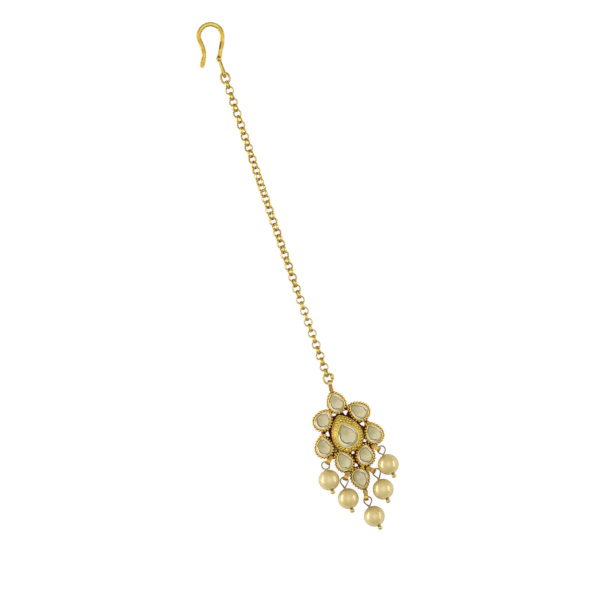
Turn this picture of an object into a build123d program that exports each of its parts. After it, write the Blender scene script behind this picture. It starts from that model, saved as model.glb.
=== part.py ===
from build123d import *
from math import acos, cos, degrees, radians, sin, sqrt
import os

# Maang tikka: kundan flower pendant with five pearl drops, rolo chain and hair hook.
# Millimetres. The piece lies on its back: z = 0 is the pendant's flat back, +Y runs
# along the chain towards the hook, and the origin is under the centre stone.

os.makedirs("parts", exist_ok=True)

# ---------------------------------------------------------------- driving dimensions
AXIS_Z = 1.27          # height of the chain's centre line and of every loop's hole
GAP = 0.05             # play left round a stone in its setting

# A pear outline is round radius, tip radius, side radius, reach from round to tip centre.
PETAL_PEAR = (2.2, 0.4, 4.6, 3.0)
CENTRE_PEAR = (2.95, 0.35, 6.5, 3.8)
COLLAR_PEAR = (4.6, 1.0, 8.5, 5.8)
CENTRE_PLACE = (-0.02, -0.57, -9.5)     # x, y and lean clockwise from +Y

PETALS = [
    # name, x, y of the round end's centre, lean of the tip clockwise from +Y
    ("top", -0.55, 9.65, -9.0),
    ("upper_right", 5.65, 5.45, -43.0),
    ("right", 7.8, -2.35, -10.0),
    ("lower_right", 3.4, -7.85, 17.0),
    ("bottom", 0.15, -13.2, 176.0),
    ("lower_left", -3.05, -7.95, -8.0),
    ("left", -7.85, -2.2, 7.0),
    ("upper_left", -6.2, 5.7, 45.0),
]

WEB_TOP = 0.7          # sheet between the petals
WEB_EDGE = 0.65        # how far that sheet reaches past the petals' centres
PLATE_TOP = 0.95       # base of each petal
PLATE_EDGE = 0.6       # base beyond the stone's outline
WALL_EDGE = 0.3        # outside of the petal's wall beyond the stone
RIM_TOP = 2.25
SEAT_Z = 1.15          # floor under a petal stone
GRAIN_R = 0.44         # beads round each petal
GRAIN_LINE = 0.5       # their centres beyond the stone's outline
GRAIN_Z = 1.05
GRAINS = 21

COLLAR_EDGE_Z = 1.6    # top of the collar's upright outer wall
COLLAR_RIM_Z = 2.95
COLLAR_RIM = 0.36      # collar's rim beyond the centre stone
CENTRE_SEAT_Z = 1.7

PETAL_GIRDLE_Z = 2.2
PETAL_TABLE_Z = 2.72
PETAL_SIDES = 20
CENTRE_GIRDLE_Z = 2.95
CENTRE_TABLE_Z = 3.55
CENTRE_SIDES = 28
TABLE_SHARE = 0.76     # table's size as a share of the girdle's
BELLY_SHARE = 0.3      # where the outline's middle lies, as a share of the pear's reach

PIERCINGS = [
    # x, y, circumscribed radius, turn of the rounded triangle
    (-2.3, 6.95, 0.95, -30.0),
    (1.25, 6.6, 1.05, 20.0),
    (5.3, 1.85, 1.05, -74.0),
    (4.5, -3.2, 0.75, 80.0),
    (0.1, -5.65, 0.75, 100.0),
    (-0.05, -9.55, 0.85, 90.0),
    (-5.8, 1.75, 1.1, 180.0),
]
PIERCING_CORNER = 0.28

LOOP_HOLE_R = 0.68
LOOPS = [
    # name, x, y of the hole, heading clockwise from +Y, outer radius, hole radius, width, stem
    ("bail", -0.84, 16.2, 3.0, 1.0, 0.66, 1.1, 2.7),
    ("a", -7.64, -6.13, 230.0, 1.1, LOOP_HOLE_R, 1.35, 1.9),
    ("b", -3.91, -12.14, 222.0, 1.1, LOOP_HOLE_R, 1.35, 1.9),
    ("c", 0.28, -19.58, 186.5, 1.1, LOOP_HOLE_R, 1.15, 2.4),
    ("d", 4.18, -12.35, 133.0, 1.1, LOOP_HOLE_R, 1.35, 1.9),
    ("e", 7.43, -6.35, 133.0, 1.1, LOOP_HOLE_R, 1.35, 1.9),
]
LOOP_SOFT = 0.15       # rounding of a loop's edges
STEM_LOW = 0.35        # stem's foot, inside the sheet
STEM_TOP = 1.75
STEM_FOOT = 0.2        # length of the stem's straight foot

PEARL_R = 3.12
PEARL_BORE_R = 0.36
PIN_R = 0.25           # shaft through the pearl
WIRE_R = 0.18          # loop of the drop
WIRE_LOOP_R = 1.18
NECK_R = 0.3
END_COLLAR_R = 0.4
END_BALL_R = 0.56
END_BALL_AT = 4.0      # from the pearl's centre
DROPS = [
    # loop; headings clockwise from +Y of the wire loop from the tab's hole, of the neck from
    # the wire loop's centre, and of the pin; how far the wire lies off the hole's centre,
    # the neck from the wire loop's centre, and the pearl's centre from the neck
    ("a", 230.0, 192.7, 179.0, 0.36, 1.3, 3.43),
    ("b", 220.0, 190.5, 178.0, 0.15, 2.12, 3.47),
    ("c", 172.0, 181.2, 169.0, 0.0, 1.83, 3.43),
    ("d", 131.0, 179.6, 172.0, 0.32, 2.1, 3.47),
    ("e", 128.0, 175.7, 168.5, 0.24, 1.65, 3.39),
]

RING_R = 1.25          # of a jump ring's round ends
RING_PULL = 0.6        # straight run between them, drawn out by the chain's pull
RING_WIRE_R = 0.25
TOP_RING = (-5.75, 112.93)
LOW_RING = (-0.98, 17.76)

LINKS = 52
LINK_R = 1.16          # mean radius of a link
LINK_BAND = 0.86       # width of its half-round band
LINK_WALL = 0.35
FIRST_LINK = 2.145     # its centre from the top ring's centre
LAST_LINK = 1.82       # its centre from the lower ring's centre
CHAIN_BOW = 0.235      # the chain's sideways bow at mid length
CHAIN_DRAW = 0.33      # how far its links lie drawn towards the pendant, a third of the way down
TWIST = [
    # share of the chain from the hook's end, turn of the links about it
    (0.0, 14.0),
    (0.08, 26.0),
    (0.24, 29.0),
    (0.4, 56.0),
    (0.64, 65.0),
    (0.8, 90.0),
    (0.9, 103.0),
    (1.0, 104.0),
]

HOOK_WIRE_R = 0.63
HOOK_TIP_R = 0.72
HOOK_KINK = (-5.87, 118.91, 1.34)
HOOK_DROP = 3.7        # degrees by which the hook's bend leans down to the surface
HOOK_TIP = [(-5.52, -0.62), (-4.48, 1.47)]              # straight free end, seen from the kink
HOOK_ARCS = [(-3.86, 4.39), (-4.13, 6.79), (2.84, 7.0), (2.07, 4.39)]  # where each arc ends
HOOK_SHANK = 4.89      # straight run back to the kink
EYE_WIRE_R = 0.42
EYE_R = 0.92
EYE_END = (-5.75, 114.31)               # centre of the eye's round end
EYE_ROLL = 12.0                         # degrees by which the eye leans from upright


# ---------------------------------------------------------------- shared shapes
def pear(size, grow=0.0):
    """Pear outline with its tip towards +Y, about its round end's centre, grown outwards."""
    round_r, tip_r, side_r, reach = size
    to_round = side_r - round_r
    to_tip = side_r - tip_r
    side_y = (to_round**2 - to_tip**2 + reach**2) / (2 * reach)
    side_x = sqrt(to_round**2 - side_y**2)
    low = (side_x / to_round, -side_y / to_round)
    high = (side_x / to_tip, (reach - side_y) / to_tip)
    middle = (low[0] + high[0], low[1] + high[1])
    span = sqrt(middle[0] ** 2 + middle[1] ** 2)
    r_round = round_r + grow
    r_tip = tip_r + grow
    r_side = side_r + grow
    a = (low[0] * r_round, low[1] * r_round)
    b = (high[0] * r_tip, reach + high[1] * r_tip)
    m = (-side_x + middle[0] / span * r_side, side_y + middle[1] / span * r_side)
    with BuildSketch() as outline:
        with BuildLine():
            ThreePointArc(a, m, b)
            ThreePointArc(b, (0, reach + r_tip), (-b[0], b[1]))
            ThreePointArc((-b[0], b[1]), (-m[0], m[1]), (-a[0], a[1]))
            ThreePointArc((-a[0], a[1]), (0, -r_round), a)
        make_face()
    return outline.sketch


def even_points(size, grow, count):
    """Points at even steps along a pear outline."""
    edge = pear(size, grow).wire()
    step = edge.length / count
    return [edge.position_at(step * i, position_mode=PositionMode.LENGTH) for i in range(count)]


def placed(x, y, lean):
    """Location of a setting that leans clockwise from +Y."""
    return Location((x, y, 0), (0, 0, -lean))


def heading(angle, length=1.0):
    """Horizontal vector at an angle clockwise from +Y."""
    return Vector(length * sin(radians(angle)), length * cos(radians(angle)), 0)


# ---------------------------------------------------------------- pendant
with BuildPart() as pendant_frame:
    for _, x, y, turn, outer_r, hole_r, width, stem in LOOPS:
        across = heading(turn + 90)
        with BuildSketch(Plane(origin=(x, y, AXIS_Z), x_dir=heading(turn), z_dir=across)):
            Circle(outer_r)
            with Locations((-stem, (STEM_TOP + STEM_LOW) / 2 - AXIS_Z)):
                Rectangle(STEM_FOOT, STEM_TOP - STEM_LOW)
            make_hull()
            Circle(hole_r, mode=Mode.SUBTRACT)
        extrude(amount=width / 2, both=True)
        fillet(faces(Select.LAST).filter_by(Axis((x, y, AXIS_Z), across)).edges(), LOOP_SOFT)

    with BuildSketch():
        Polygon(*[(x, y) for _, x, y, _ in PETALS], align=None)
        offset(amount=WEB_EDGE)
        for x, y, radius, turn in PIERCINGS:
            with BuildSketch(mode=Mode.PRIVATE) as piercing:
                RegularPolygon(radius, 3)
                fillet(piercing.vertices(), PIERCING_CORNER)
            with Locations(Location((x, y, 0), (0, 0, turn))):
                add(piercing.sketch, mode=Mode.SUBTRACT)
    extrude(amount=WEB_TOP)

    with BuildSketch():
        with Locations(*[placed(x, y, lean) for _, x, y, lean in PETALS]):
            add(pear(PETAL_PEAR, PLATE_EDGE))
    extrude(amount=PLATE_TOP)

    with BuildSketch():
        with Locations(placed(*CENTRE_PLACE)):
            add(pear(COLLAR_PEAR))
    extrude(amount=COLLAR_EDGE_Z)

    with BuildSketch(Plane.XY.offset(COLLAR_EDGE_Z)):
        with Locations(placed(*CENTRE_PLACE)):
            add(pear(COLLAR_PEAR))
    with BuildSketch(Plane.XY.offset(COLLAR_RIM_Z)):
        with Locations(placed(*CENTRE_PLACE)):
            add(pear(CENTRE_PEAR, COLLAR_RIM))
    loft(ruled=True)

    with BuildSketch(Plane.XY.offset(WEB_TOP)):
        with Locations(*[placed(x, y, lean) for _, x, y, lean in PETALS]):
            add(pear(PETAL_PEAR, WALL_EDGE))
    extrude(amount=RIM_TOP - WEB_TOP)

    grain_line = even_points(PETAL_PEAR, GRAIN_LINE, GRAINS)
    with Locations(*[placed(x, y, lean) for _, x, y, lean in PETALS]):
        with Locations(*[(point.X, point.Y, GRAIN_Z) for point in grain_line]):
            Sphere(GRAIN_R)

    with BuildSketch(Plane.XY.offset(SEAT_Z)):
        with Locations(*[placed(x, y, lean) for _, x, y, lean in PETALS]):
            add(pear(PETAL_PEAR, GAP))
    extrude(amount=RIM_TOP, mode=Mode.SUBTRACT)

    with BuildSketch(Plane.XY.offset(CENTRE_SEAT_Z)):
        with Locations(placed(*CENTRE_PLACE)):
            add(pear(CENTRE_PEAR, GAP))
    extrude(amount=COLLAR_RIM_Z, mode=Mode.SUBTRACT)

pendant_frame.part.label = "pendant_frame"
export_step(pendant_frame.part, "parts/pendant_frame.step")


# ---------------------------------------------------------------- stones
SETTINGS = [(name, x, y, lean, PETAL_PEAR, PETAL_SIDES, SEAT_Z, PETAL_GIRDLE_Z, PETAL_TABLE_Z)
            for name, x, y, lean in PETALS]
SETTINGS.append(("centre", *CENTRE_PLACE, CENTRE_PEAR, CENTRE_SIDES,
                 CENTRE_SEAT_Z, CENTRE_GIRDLE_Z, CENTRE_TABLE_Z))

for name, x, y, lean, size, sides, seat, girdle, table in SETTINGS:
    corners = [(point.X, point.Y) for point in even_points(size, 0.0, sides)]
    belly = size[3] * BELLY_SHARE
    with BuildPart() as stone:
        with BuildSketch(Plane.XY.offset(seat + GAP)):
            with Locations(placed(x, y, lean)):
                Polygon(*corners, align=None)
        extrude(amount=girdle - seat - GAP)
        with BuildSketch(Plane.XY.offset(girdle)):
            with Locations(placed(x, y, lean)):
                Polygon(*corners, align=None)
        with BuildSketch(Plane.XY.offset(table)):
            with Locations(placed(x, y, lean)):
                Polygon(*[(px * TABLE_SHARE, belly + (py - belly) * TABLE_SHARE)
                          for px, py in corners], align=None)
        loft(ruled=True)
    stone.part.label = f"stone_{name}"
    export_step(stone.part, f"parts/stone_{name}.step")


# ---------------------------------------------------------------- pearl drops
LOOP_PLACES = {name: (x, y, turn) for name, x, y, turn, *_ in LOOPS}


def swung(turn, length):
    """Step in a drop's plane, turned from the pin towards the level axis."""
    return Vector(length * cos(radians(turn)), length * sin(radians(turn)), 0)


for number, (loop, hang, lean, pin_turn, seat, neck, shaft) in enumerate(DROPS, start=1):
    loop_x, loop_y, _ = LOOP_PLACES[loop]
    # places in the drop's own plane: the tab's hole at 0, x along the pin, y level
    centre = swung(pin_turn - hang, seat + WIRE_LOOP_R)
    end = centre + swung(pin_turn - lean, neck)
    middle = end + Vector(shaft, 0, 0)
    rise = (PEARL_R - AXIS_Z) / middle.X
    side = heading(pin_turn - 90)
    pin = heading(pin_turn) * sqrt(1 - rise**2) + Vector(0, 0, rise)
    drop_plane = Plane(origin=(loop_x, loop_y, AXIS_Z), x_dir=pin, z_dir=pin.cross(side))
    loop_plane = Plane(origin=drop_plane.from_local_coords(centre),
                       x_dir=drop_plane.from_local_coords(end) - drop_plane.from_local_coords(centre),
                       z_dir=drop_plane.z_dir)
    touch = acos(WIRE_LOOP_R / neck)
    touch_x = WIRE_LOOP_R * cos(touch)
    touch_y = WIRE_LOOP_R * sin(touch)

    with BuildPart(drop_plane) as drop_pin:
        for hand in (1, -1):
            with BuildLine(loop_plane) as half_loop:
                JernArc((-WIRE_LOOP_R, 0), (0, hand), WIRE_LOOP_R, hand * (degrees(touch) - 180))
                Line((touch_x, hand * touch_y), (neck, 0))
            with BuildSketch(Plane(half_loop.line ^ 0)):
                Circle(WIRE_R)
            sweep(path=half_loop.line)
        with Locations(Location((end.X, end.Y, 0), (0, 90, 0))):
            Sphere(NECK_R)
            Cylinder(PIN_R, shaft + END_BALL_AT,
                     align=(Align.CENTER, Align.CENTER, Align.MIN))
        with Locations(Location((middle.X + PEARL_R + GAP, middle.Y, 0), (0, 90, 0))):
            Cylinder(END_COLLAR_R, END_BALL_AT - PEARL_R - GAP,
                     align=(Align.CENTER, Align.CENTER, Align.MIN))
        with Locations((middle.X + END_BALL_AT, middle.Y, 0)):
            Sphere(END_BALL_R)
    drop_pin.part.label = f"drop_pin_{number}"
    export_step(drop_pin.part, f"parts/drop_pin_{number}.step")

    with BuildPart(drop_plane) as pearl:
        with BuildSketch(drop_plane):
            with Locations((middle.X, middle.Y)):
                Circle(PEARL_R)
            with Locations((middle.X, middle.Y + PEARL_BORE_R)):
                Rectangle(3 * PEARL_R, 3 * PEARL_R, mode=Mode.SUBTRACT,
                          align=(Align.CENTER, Align.MAX))
        revolve(axis=Axis(drop_plane.from_local_coords(middle), pin))
    pearl.part.label = f"pearl_{number}"
    export_step(pearl.part, f"parts/pearl_{number}.step")


# ---------------------------------------------------------------- rings and chain
chain_way = Vector(LOW_RING[0] - TOP_RING[0], LOW_RING[1] - TOP_RING[1], 0).normalized()
chain_side = Vector(chain_way.Y, -chain_way.X, 0)


def jump_ring(centre):
    """Ring of round wire, a little longer than wide, lying along the chain."""
    with BuildPart() as ring:
        with BuildLine(Plane(origin=(*centre, AXIS_Z), x_dir=chain_way, z_dir=(0, 0, 1))) as loop:
            CenterArc((RING_PULL / 2, 0), RING_R, -90, 180)
            Line((RING_PULL / 2, RING_R), (-RING_PULL / 2, RING_R))
            CenterArc((-RING_PULL / 2, 0), RING_R, 90, 180)
            Line((-RING_PULL / 2, -RING_R), (RING_PULL / 2, -RING_R))
        with BuildSketch(Plane(loop.line ^ 0)):
            Circle(RING_WIRE_R)
        sweep(path=loop.line)
    return ring.part


with BuildPart() as jump_ring_top:
    add(jump_ring(TOP_RING))
jump_ring_top.part.label = "jump_ring_top"
export_step(jump_ring_top.part, "parts/jump_ring_top.step")

with BuildPart() as jump_ring_bottom:
    add(jump_ring(LOW_RING))
jump_ring_bottom.part.label = "jump_ring_bottom"
export_step(jump_ring_bottom.part, "parts/jump_ring_bottom.step")


def twist_at(share):
    """Turn of the links about the chain, at a share of its length from the hook's end."""
    for (share_a, turn_a), (share_b, turn_b) in zip(TWIST, TWIST[1:]):
        if share <= share_b:
            return turn_a + (turn_b - turn_a) * (share - share_a) / (share_b - share_a)
    return TWIST[-1][1]


first_link = Vector(*TOP_RING, AXIS_Z) + chain_way * FIRST_LINK
last_link = Vector(*LOW_RING, AXIS_Z) - chain_way * LAST_LINK

with BuildPart() as chain:
    for i in range(LINKS):
        share = i / (LINKS - 1)
        centre = first_link + (last_link - first_link) * share
        centre += chain_way * (CHAIN_DRAW * 6.75 * share * (1 - share) ** 2)
        centre += chain_side * (CHAIN_BOW * 4 * share * (1 - share))
        roll = radians(twist_at(share) + (90 if i % 2 == 0 else 0))
        link_axis = Vector(0, 0, cos(roll)) + chain_side * sin(roll)
        link_plane = Plane(origin=centre, x_dir=chain_way, z_dir=link_axis.cross(chain_way))
        with BuildSketch(link_plane):
            with Locations((LINK_R, 0)):
                Ellipse(LINK_WALL / 2, LINK_BAND / 2)
        revolve(axis=Axis(centre, link_axis))
chain.part.label = "chain"
export_step(chain.part, "parts/chain.step")


# ---------------------------------------------------------------- hair hook
lean = radians(HOOK_DROP)
hook_plane = Plane(origin=HOOK_KINK, x_dir=(1, 0, 0), z_dir=(0, sin(lean), cos(lean)))
eye_way = Vector(EYE_END[0] - HOOK_KINK[0], EYE_END[1] - HOOK_KINK[1], 0)
eye_reach = eye_way.length
eye_plane = Plane(origin=(*EYE_END, HOOK_KINK[2]), x_dir=-eye_way,
                  z_dir=Vector(0, 0, 1).cross(eye_way)).rotated((EYE_ROLL, 0, 0))
eye_touch = acos(EYE_R / eye_reach)
eye_x = EYE_R * cos(eye_touch)
eye_y = EYE_R * sin(eye_touch)

with BuildPart() as hook:
    with BuildLine(hook_plane) as bend:
        run = Line(*HOOK_TIP)
        for arc_end in HOOK_ARCS:
            run = TangentArc(run @ 1, arc_end, tangent=run % 1)
        Line(run @ 1, run @ 1 + (run % 1) * HOOK_SHANK)
    with BuildSketch(Plane(bend.line ^ 0)):
        Circle(HOOK_WIRE_R)
    sweep(path=bend.line)
    with Locations(bend.line @ 0):
        Sphere(HOOK_TIP_R)
    with Locations(bend.line @ 1):
        Sphere(HOOK_TIP_R)
    for hand in (1, -1):
        with BuildLine(eye_plane) as half_eye:
            JernArc((-EYE_R, 0), (0, hand), EYE_R, hand * (degrees(eye_touch) - 180))
            Line((eye_x, hand * eye_y), (eye_reach, 0))
        with BuildSketch(Plane(half_eye.line ^ 0)):
            Circle(EYE_WIRE_R)
        sweep(path=half_eye.line)
hook.part.label = "hook"
export_step(hook.part, "parts/hook.step")
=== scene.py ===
import bmesh
import bpy
import random
from math import acos, atan2, cos, degrees, pi, radians, sin, sqrt
from mathutils import Matrix, Vector, noise


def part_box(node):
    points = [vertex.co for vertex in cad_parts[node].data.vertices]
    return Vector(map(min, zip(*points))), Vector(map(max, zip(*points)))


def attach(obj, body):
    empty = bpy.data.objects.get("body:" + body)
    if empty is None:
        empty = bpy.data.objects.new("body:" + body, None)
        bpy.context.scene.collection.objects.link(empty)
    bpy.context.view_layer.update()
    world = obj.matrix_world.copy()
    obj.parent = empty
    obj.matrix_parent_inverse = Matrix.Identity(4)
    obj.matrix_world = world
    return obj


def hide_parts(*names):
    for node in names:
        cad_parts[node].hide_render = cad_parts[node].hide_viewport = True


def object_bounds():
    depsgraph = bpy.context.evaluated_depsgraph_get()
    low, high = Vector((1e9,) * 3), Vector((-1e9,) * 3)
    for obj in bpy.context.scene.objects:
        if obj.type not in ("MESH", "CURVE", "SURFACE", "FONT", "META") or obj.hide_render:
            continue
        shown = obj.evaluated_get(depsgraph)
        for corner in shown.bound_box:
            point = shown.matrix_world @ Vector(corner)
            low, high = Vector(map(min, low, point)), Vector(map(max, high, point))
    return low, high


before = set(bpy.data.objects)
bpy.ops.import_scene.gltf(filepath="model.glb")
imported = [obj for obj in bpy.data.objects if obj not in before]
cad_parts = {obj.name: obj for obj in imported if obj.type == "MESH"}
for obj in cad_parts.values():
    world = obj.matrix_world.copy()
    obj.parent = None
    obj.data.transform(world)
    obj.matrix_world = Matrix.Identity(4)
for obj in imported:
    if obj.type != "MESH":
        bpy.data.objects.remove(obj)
cad_low, cad_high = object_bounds()

# Lengths are in millimetres unless a comment says otherwise, and a mesh is scaled to metres as
# it is finished.
MM = 0.001
UP = Vector((0, 0, 1))

# ---------------------------------------------------------------- named sizes
ROLL = 16.0                   # degrees by which the camera is turned about the vertical
FIELD = 180.0                 # width of the view on the surface
CAMERA_HEIGHT = 1200.0
VIEW_SHIFT = (-2.66, -7.5)    # middle of the view from the middle of the whole piece

# A pear outline is round radius, tip radius, side radius, reach from round to tip centre.
PETAL_PEAR = (2.2, 0.4, 4.6, 3.0)
CENTRE_PEAR = (2.95, 0.35, 6.5, 3.8)
COLLAR_PEAR = (4.6, 1.0, 8.5, 5.8)
ARC_STEPS = (12, 8, 8, 8, 12)

# Distances at which loose corners are joined: in swept outlines, finished shells, CAD meshes
SWEEP_SEAM = 0.001
SHELL_SEAM = 0.0008
CAD_SEAM = 0.002
SHARP = 1.0                   # radians between two faces from which their edge is rounded off

STONE_LEANS = {
    # lean of each setting's tip, clockwise from +Y
    "top": -9.0,
    "upper_right": -43.0,
    "right": -10.0,
    "lower_right": 17.0,
    "bottom": 176.0,
    "lower_left": -8.0,
    "left": 7.0,
    "upper_left": 45.0,
}
CENTRE_LEAN = -9.5

# Heights of a stone's seat, girdle and table
PETAL_STONE_Z = (1.15, 2.2, 2.72)
CENTRE_STONE_Z = (1.7, 2.95, 3.55)

RIM_TOP = 2.3                 # of the petals' bezels
PETAL_FOOT = 0.6              # how far a petal's base reaches past its stone's outline
GRAIN_Z = 1.05
GRAIN_LINE = 0.52             # grains' centres beyond the stone's outline
GRAIN_R = 0.42
GRAINS = 21

COLLAR_EDGE_Z = 1.6
COLLAR_RIM_Z = 2.95
COLLAR_RIM = 0.36             # rim beyond the centre stone
# Patina with painted shade on the collar's band, seen between its grains
COLLAR_PATINA_AND_SHADE = 0.52

AXIS_Z = 1.27                 # height of the holes' axes
LOOPS = {
    # x, y of the hole, heading clockwise from +Y, outer radius, hole radius, width, stem
    "bail": (-0.84, 16.2, 3.0, 1.0, 0.66, 1.1, 2.7),
    "left": (-7.64, -6.13, 230.0, 1.1, 0.68, 1.35, 1.9),
    "lower_left": (-3.91, -12.14, 222.0, 1.1, 0.68, 1.35, 1.9),
    "bottom": (0.28, -19.58, 186.5, 1.1, 0.68, 1.15, 2.4),
    "lower_right": (4.18, -12.35, 133.0, 1.1, 0.68, 1.35, 1.9),
    "right": (7.43, -6.35, 133.0, 1.1, 0.68, 1.35, 1.9),
}
TAB_FOOT_Z = (0.35, 1.75)     # where a tab's stem meets the frame
TAB_ROUND = 0.15
# Strength of painted shade on the tabs' sides
TAB_SIDE_SHADE = 0.72
# Strength of patina with painted shade round the tabs' roots
ROOT_PATINA_AND_SHADE = 0.85

PIERCING_ROUND = 0.42         # of a piercing's corners
PIERCINGS = [
    # x, y, circumscribed radius, turn of the rounded triangle
    (-2.3, 6.95, 0.95, -30.0),
    (1.25, 6.6, 1.05, 20.0),
    (5.3, 1.85, 1.05, -74.0),
    (4.5, -3.2, 0.75, 80.0),
    (0.1, -5.65, 0.75, 100.0),
    (-0.05, -9.55, 0.85, 90.0),
    (-5.8, 1.75, 1.1, 180.0),
]
SHEET_EDGE = 0.65             # how far the sheet reaches past the petals' centres
SHEET_TOP = 0.7
SHEET_ROUND = 0.07
PLATE_TOP = 0.95              # of the petals' bases

# Loops that the drops hang in, from pearl_1 to pearl_5
DROP_LOOPS = ["left", "lower_left", "bottom", "lower_right", "right"]
PEARL_EDGE = 3.15             # from a pearl's centre, just past its surface
KNOT_REACH = 3.85             # from a pearl's centre to the end of the wire's knot above it
END_BEAD_SWELL = 0.28
KNOT_SWELL = 0.35

RING_R = 1.25                 # of a jump ring's round ends
RING_PULL = 0.6               # straight run between them
RING_STOUT = 1.16             # its wire's thickness as a share of the solid's
RING_SOLDER = 80.0            # where the lower ring is soldered, clockwise from +Y
# Strength of painted shade on the rings' sides and undersides
RING_SIDE_SHADE = 0.75
LINK_SWELL = 0.03
# Strength of painted shade on the links' sides and undersides
LINK_SIDE_SHADE = 0.62

HOOK_KINK = Vector((-5.87, 118.91, 1.34))
HOOK_DROP = 3.7               # degrees by which the bend leans down to the surface
# Ends of the hook's arcs from its flattened tip, in its own plane from the kink
HOOK_TIP = [(-5.52, -0.62), (-4.48, 1.47)]
HOOK_ARCS = [(-3.86, 4.39), (-4.13, 6.79), (2.84, 7.0), (2.07, 4.39)]
HOOK_SHANK = 4.89
HOOK_WIRE_R = 0.63
TIP_START = 0.45              # how far the tip lies before its first point
TIP_LIP = 0.16                # its rounded lip
TIP_RUN_ON = 0.34             # what the flattened run is longer than its two points
HOOK_SOLDER = Vector((-0.1, 0.05, 0.22))    # lump of solder from the kink
# Strength of painted shade on the hook's sides and undersides
HOOK_SIDE_SHADE = 0.5
EYE_WIRE_R = 0.42
EYE_R = 0.92
EYE_END = Vector((-5.75, 114.31, 1.34))
EYE_ROLL = 12.0               # degrees by which the eye leans from upright

random.seed(7)
noise.seed_set(7)


# ---------------------------------------------------------------- shader arithmetic
class Value:
    """A shader socket that takes part in sums: an expression adds its Math nodes."""

    def __init__(self, shader, socket):
        self.shader = shader
        self.socket = socket

    def math(self, operation, *values):
        return self.shader.add("ShaderNodeMath", {"operation": operation}, dict(enumerate(values)))

    def __add__(self, other):
        return self.math("ADD", self, other)

    def __sub__(self, other):
        return self.math("SUBTRACT", self, other)

    def __rsub__(self, other):
        return self.math("SUBTRACT", other, self)

    def __mul__(self, other):
        return self.math("MULTIPLY", self, other)

    __radd__ = __add__
    __rmul__ = __mul__


class Shader:
    """Adds nodes to one tree, and gives back their outputs as values."""

    def __init__(self, tree):
        self.tree = tree
        tree.nodes.clear()

    def add(self, kind, settings=None, sockets=None, output=0):
        node = self.tree.nodes.new(kind)
        for key, setting in (settings or {}).items():
            if key == "stops":
                stops = node.color_ramp.elements
                while len(stops) < len(setting):
                    stops.new(0.5)
                for stop, (place, colour) in zip(stops, setting):
                    stop.position = place
                    stop.color = (*colour, 1.0)
            else:
                setattr(node, key, setting)
        for key, value in (sockets or {}).items():
            if isinstance(value, Value):
                self.tree.links.new(value.socket, node.inputs[key])
            else:
                node.inputs[key].default_value = value
        return Value(self, node.outputs[output]) if node.outputs else None

    def place(self):
        """Where a point lies on its object."""
        return self.add("ShaderNodeTexCoord", output="Object")

    def mix(self, factor, a, b, mode="MIX"):
        """Colour between a and b."""
        a = a if isinstance(a, Value) else (*a, 1.0)
        b = b if isinstance(b, Value) else (*b, 1.0)
        settings = {"data_type": "RGBA", "blend_type": mode, "clamp_factor": True}
        return self.add("ShaderNodeMix", settings, {0: factor, 6: a, 7: b}, output=2)

    def noise(self, scale, detail=2.0, rough=0.5):
        """Noise from 0 to 1 with features about 1 / scale millimetres across."""
        sockets = {"Vector": self.place(), "Scale": scale / MM, "Detail": detail,
                   "Roughness": rough}
        return self.add("ShaderNodeTexNoise", {"noise_dimensions": "3D"}, sockets)

    def step(self, value, low, high, to_low=0.0, to_high=1.0):
        """Smooth step of a value between two limits."""
        sockets = {0: value, 1: low, 2: high, 3: to_low, 4: to_high}
        return self.add("ShaderNodeMapRange", {"interpolation_type": "SMOOTHSTEP"}, sockets)

    def attribute(self, name, output="Fac"):
        """What a mesh's vertices carry under a name."""
        return self.add("ShaderNodeAttribute", {"attribute_name": name}, output=output)

    def shelter(self, distance):
        """1 in the open and towards 0 where other surfaces stand close."""
        settings = {"samples": 12}
        return self.add("ShaderNodeAmbientOcclusion", settings, {"Distance": distance * MM}, "AO")

    def bump(self, height, depth, strength=1.0):
        """Normal of a surface that is raised by a height."""
        sockets = {"Strength": strength, "Distance": depth * MM, "Height": height}
        return self.add("ShaderNodeBump", {}, sockets)

    def surface(self, sockets):
        """Ends the tree in one plain surface shader."""
        shown = self.add("ShaderNodeBsdfPrincipled", {}, sockets)
        self.add("ShaderNodeOutputMaterial", {}, {"Surface": shown})


def finish(name):
    """A new material and the shader that fills it."""
    material = bpy.data.materials.new(name)
    material.use_nodes = True
    return material, Shader(material.node_tree)


# ---------------------------------------------------------------- finishes
def gold(name, light, deep, rough=0.28, painted_ao_shade=0.35, patina_and_shade_colour=(0.08, 0.009, 0.003), scratch=0.5):
    """Plated gold: warm variation, and a dark colour that is partly patina and partly painted
    shade, where the recess attribute marks it and where other surfaces stand close.
    """
    material, s = finish(name)
    drift = s.noise(0.45, 3.0, 0.55)
    colour = s.mix(s.step(drift, 0.32, 0.68), light, deep)
    recess = s.attribute("recess")
    # Painted shade: darker where other surfaces stand close.
    shade = 1 - s.step(s.shelter(0.6), 0.3, 0.9)
    # Dark mark: patina with painted shade from the recess attribute, painted shade from close
    # surfaces, and noise.
    patina_and_shade = s.step(recess + shade * painted_ao_shade + (s.noise(2.6, 3.0) - 0.5) * 0.35, 0.28, 0.92)
    colour = s.mix(patina_and_shade, colour, patina_and_shade_colour)
    grit = s.noise(9.0, 4.0, 0.65)
    smooth = rough + (grit - 0.5) * 0.22 + patina_and_shade * 0.3
    normal = s.bump(s.noise(3.2, 3.0, 0.6) + grit * 0.25, 0.05, scratch)
    s.surface({
        "Base Color": colour,
        "Metallic": 1 - patina_and_shade * 0.12,
        "Roughness": smooth,
        "Normal": normal,
    })
    return material


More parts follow.
